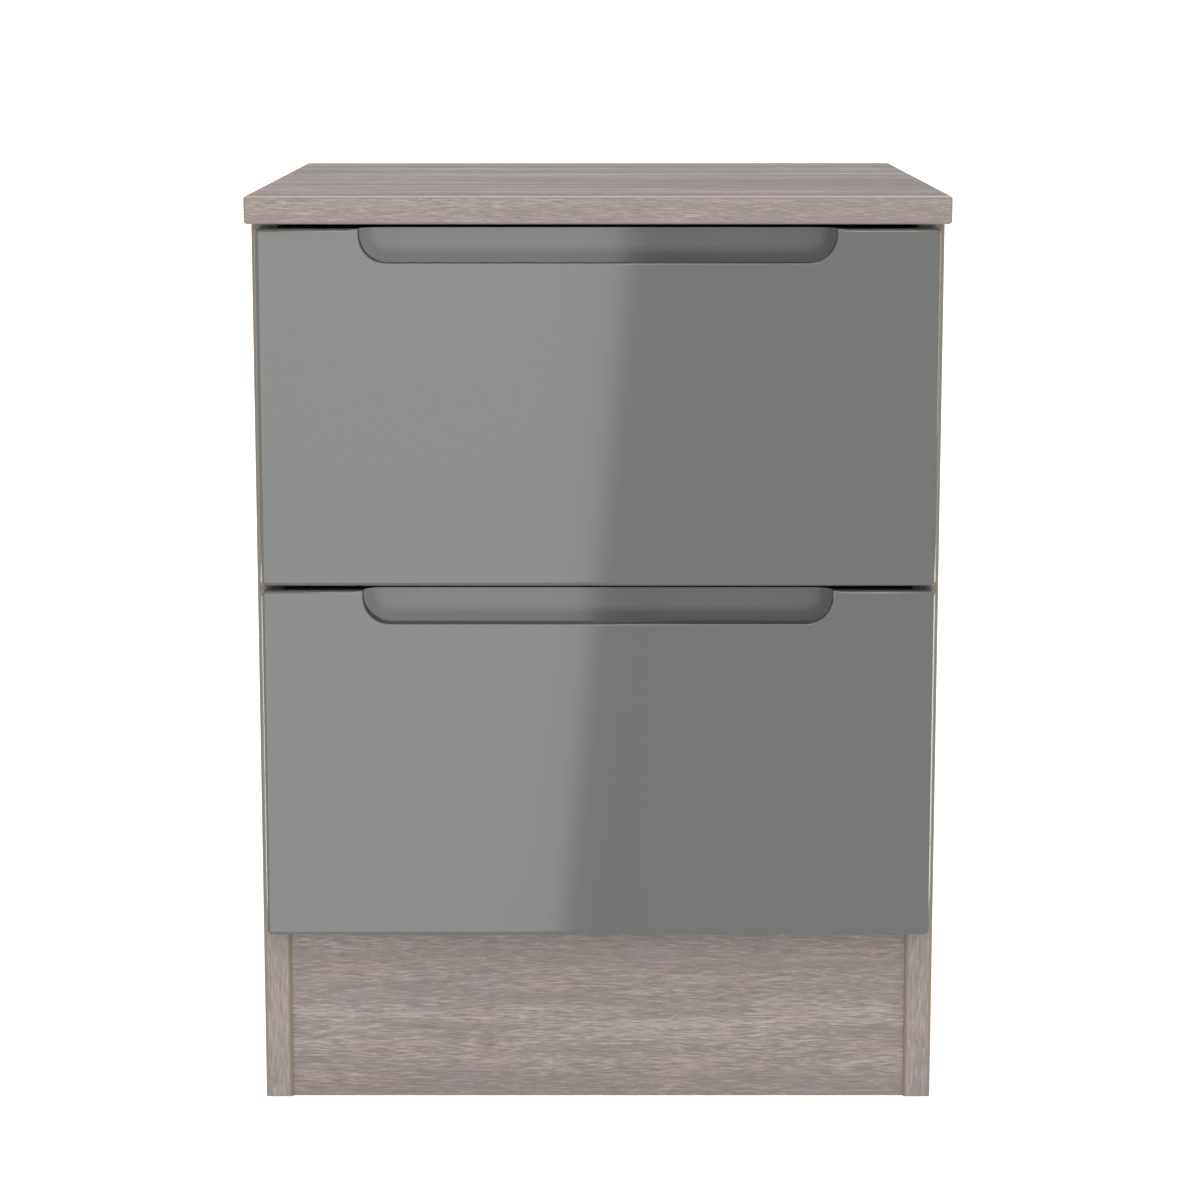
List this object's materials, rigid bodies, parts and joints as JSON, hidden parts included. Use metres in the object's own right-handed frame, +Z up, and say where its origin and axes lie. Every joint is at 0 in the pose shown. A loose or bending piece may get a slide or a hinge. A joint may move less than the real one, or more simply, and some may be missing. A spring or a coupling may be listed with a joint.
{
  "type": "nightstand",
  "caption": "Bedside nightstand with drawers: an oak-look board carcass on a plinth, an overhanging top, and gloss grey drawer fronts with a finger scoop, on roller runners.",
  "frame": {"origin": "on the floor, under the middle of the top panel", "axes": "+X to the right, +Y to the back and +Z up, seen from the front; drawers open towards -Y"},
  "size_m": [0.4, 0.418, 0.536],
  "materials": {
    "oak_laminate": "grey-brown oak-look laminate, matt, fine grain",
    "gloss_lacquer": "high-gloss grey on fibreboard",
    "drawer_board": "pale grey foil on chipboard",
    "hardboard": "pale lacquered hardboard",
    "brown_hardboard": "bare brown hardboard, pale inner face",
    "beech": "bare beech",
    "coated_steel": "white epoxy coating",
    "zinc": "zinc plated",
    "nylon": "white nylon",
    "clear_rubber": "soft translucent"
  },
  "bodies": {
    "root": {"top_panel": "oak_laminate", "left_side_panel": "oak_laminate", "right_side_panel": "oak_laminate", "base_panel": "oak_laminate", "front_plinth": "oak_laminate", "back_panel": "brown_hardboard", "carcass_cam_pins": "zinc", "carcass_cams": "zinc", "carcass_dowels": "beech", "back_panel_nails": "zinc", "lower_left_cabinet_rail": "coated_steel", "lower_right_cabinet_rail": "coated_steel", "lower_cabinet_rivets": "zinc", "lower_cabinet_rail_screws": "zinc", "upper_left_cabinet_rail": "coated_steel", "upper_right_cabinet_rail": "coated_steel", "upper_cabinet_rivets": "zinc", "upper_cabinet_rail_screws": "zinc"},
    "lower_drawer": {"lower_front": "gloss_lacquer", "lower_left_side": "drawer_board", "lower_right_side": "drawer_board", "lower_back": "drawer_board", "lower_bottom": "hardboard", "lower_front_cam_pins": "zinc", "lower_front_cams": "zinc", "lower_front_dowels": "beech", "lower_back_screws": "zinc", "lower_bottom_nails": "zinc", "lower_bumpers": "clear_rubber", "lower_left_drawer_rail": "coated_steel", "lower_right_drawer_rail": "coated_steel", "lower_drawer_rivets": "zinc", "lower_drawer_rail_screws": "zinc"},
    "lower_left_cabinet_roller": {"lower_left_cabinet_roller": "nylon"},
    "lower_left_drawer_roller": {"lower_left_drawer_roller": "nylon"},
    "lower_right_cabinet_roller": {"lower_right_cabinet_roller": "nylon"},
    "lower_right_drawer_roller": {"lower_right_drawer_roller": "nylon"},
    "upper_drawer": {"upper_front": "gloss_lacquer", "upper_left_side": "drawer_board", "upper_right_side": "drawer_board", "upper_back": "drawer_board", "upper_bottom": "hardboard", "upper_front_cam_pins": "zinc", "upper_front_cams": "zinc", "upper_front_dowels": "beech", "upper_back_screws": "zinc", "upper_bottom_nails": "zinc", "upper_bumpers": "clear_rubber", "upper_left_drawer_rail": "coated_steel", "upper_right_drawer_rail": "coated_steel", "upper_drawer_rivets": "zinc", "upper_drawer_rail_screws": "zinc"},
    "upper_left_cabinet_roller": {"upper_left_cabinet_roller": "nylon"},
    "upper_left_drawer_roller": {"upper_left_drawer_roller": "nylon"},
    "upper_right_cabinet_roller": {"upper_right_cabinet_roller": "nylon"},
    "upper_right_drawer_roller": {"upper_right_drawer_roller": "nylon"}
  },
  "joints": [
    {"name": "lower_drawer_slide", "type": "slide", "parent": "root", "child": "lower_drawer", "axis": [0, -1, 0], "range_m": [0, 0.26]},
    {"name": "lower_left_cabinet_roller_spin", "type": "hinge", "parent": "root", "child": "lower_left_cabinet_roller", "pos_m": [-0.17575, -0.173, 0.147], "axis": [1, 0, 0], "range_deg": [0, 1760]},
    {"name": "lower_left_drawer_roller_spin", "type": "hinge", "parent": "lower_drawer", "child": "lower_left_drawer_roller", "pos_m": [-0.1745, 0.149, 0.1435], "axis": [1, 0, 0], "range_deg": [0, 2135]},
    {"name": "lower_right_cabinet_roller_spin", "type": "hinge", "parent": "root", "child": "lower_right_cabinet_roller", "pos_m": [0.17575, -0.173, 0.147], "axis": [1, 0, 0], "range_deg": [0, 1760]},
    {"name": "lower_right_drawer_roller_spin", "type": "hinge", "parent": "lower_drawer", "child": "lower_right_drawer_roller", "pos_m": [0.1745, 0.149, 0.1435], "axis": [1, 0, 0], "range_deg": [0, 2135]},
    {"name": "upper_drawer_slide", "type": "slide", "parent": "root", "child": "upper_drawer", "axis": [0, -1, 0], "range_m": [0, 0.26]},
    {"name": "upper_left_cabinet_roller_spin", "type": "hinge", "parent": "root", "child": "upper_left_cabinet_roller", "pos_m": [-0.17575, -0.173, 0.3545], "axis": [1, 0, 0], "range_deg": [0, 1760]},
    {"name": "upper_left_drawer_roller_spin", "type": "hinge", "parent": "upper_drawer", "child": "upper_left_drawer_roller", "pos_m": [-0.1745, 0.149, 0.351], "axis": [1, 0, 0], "range_deg": [0, 2135]},
    {"name": "upper_right_cabinet_roller_spin", "type": "hinge", "parent": "root", "child": "upper_right_cabinet_roller", "pos_m": [0.17575, -0.173, 0.3545], "axis": [1, 0, 0], "range_deg": [0, 1760]},
    {"name": "upper_right_drawer_roller_spin", "type": "hinge", "parent": "upper_drawer", "child": "upper_right_drawer_roller", "pos_m": [0.1745, 0.149, 0.351], "axis": [1, 0, 0], "range_deg": [0, 2135]}
  ],
  "couplings": [
    {"joint": "lower_left_cabinet_roller_spin", "follows": "lower_drawer_slide", "rad_per_m": 117.65},
    {"joint": "lower_left_drawer_roller_spin", "follows": "lower_drawer_slide", "rad_per_m": 142.86},
    {"joint": "lower_right_cabinet_roller_spin", "follows": "lower_drawer_slide", "rad_per_m": 117.65},
    {"joint": "lower_right_drawer_roller_spin", "follows": "lower_drawer_slide", "rad_per_m": 142.86},
    {"joint": "upper_left_cabinet_roller_spin", "follows": "upper_drawer_slide", "rad_per_m": 117.65},
    {"joint": "upper_left_drawer_roller_spin", "follows": "upper_drawer_slide", "rad_per_m": 142.86},
    {"joint": "upper_right_cabinet_roller_spin", "follows": "upper_drawer_slide", "rad_per_m": 117.65},
    {"joint": "upper_right_drawer_roller_spin", "follows": "upper_drawer_slide", "rad_per_m": 142.86}
  ]
}
